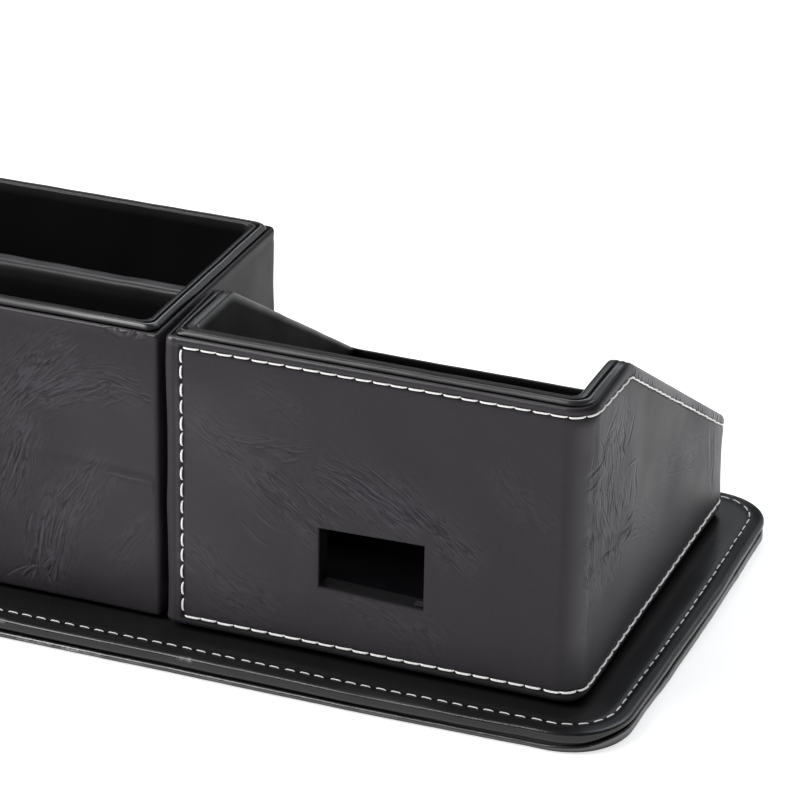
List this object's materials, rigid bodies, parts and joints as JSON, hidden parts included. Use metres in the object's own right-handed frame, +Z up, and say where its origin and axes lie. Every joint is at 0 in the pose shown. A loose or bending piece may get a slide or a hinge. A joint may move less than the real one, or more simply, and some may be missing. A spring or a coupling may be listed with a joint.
{
  "type": "desk caddy",
  "caption": "Black leather desk caddy: a stitched flat base carrying an upright divided organizer box and a sloped stand box with a rear cord outlet.",
  "frame": {"origin": "middle of the base's underside", "axes": "+X along the base towards the stand box, +Y towards the low front of the stand box, +Z up; the rear wall with the outlet faces -Y"},
  "size_m": [0.243, 0.1284, 0.0803],
  "materials": {
    "cover_leather": "satin creased imitation leather, charcoal black",
    "base_leather": "smooth satin imitation leather, black",
    "lining": "thin smooth imitation leather, black",
    "floor_lining": "short-nap flocked lining, black",
    "board": "black-dyed fibreboard, hidden",
    "backing": "matt leatherette",
    "felt": "pressed felt, black",
    "thread": "waxed sewing thread, white"
  },
  "bodies": {
    "base": {"base_backing": "backing", "base_board": "board", "base_cover": "base_leather", "base_stitching": "thread"},
    "stand_box": {"stand_felt_pad": "felt", "stand_cover": "cover_leather", "stand_rear_board": "board", "stand_front_board": "board", "stand_left_board": "board", "stand_right_board": "board", "stand_floor_board": "board", "stand_rear_lining": "lining", "stand_front_lining": "lining", "stand_left_lining": "lining", "stand_right_lining": "lining", "stand_stop_board": "board", "stand_stop_cover": "lining", "stand_rear_floor_lining": "floor_lining", "stand_front_floor_lining": "floor_lining", "stand_stitching": "thread"},
    "organizer_box": {"organizer_felt_pad": "felt", "organizer_cover": "cover_leather", "organizer_rear_board": "board", "organizer_front_board": "board", "organizer_left_board": "board", "organizer_right_board": "board", "organizer_floor_board": "board", "organizer_rear_lining": "lining", "organizer_front_lining": "lining", "organizer_left_lining": "lining", "organizer_right_lining": "lining", "organizer_divider_board": "board", "organizer_divider_cover": "lining", "organizer_rear_floor_lining": "floor_lining", "organizer_front_floor_lining": "floor_lining"}
  },
  "joints": [
    {"name": "stand_box_lift", "type": "slide", "parent": "base", "child": "stand_box", "axis": [0, 0, 1], "range_m": [0, 0.09]},
    {"name": "organizer_box_lift", "type": "slide", "parent": "base", "child": "organizer_box", "axis": [0, 0, 1], "range_m": [0, 0.09]}
  ]
}
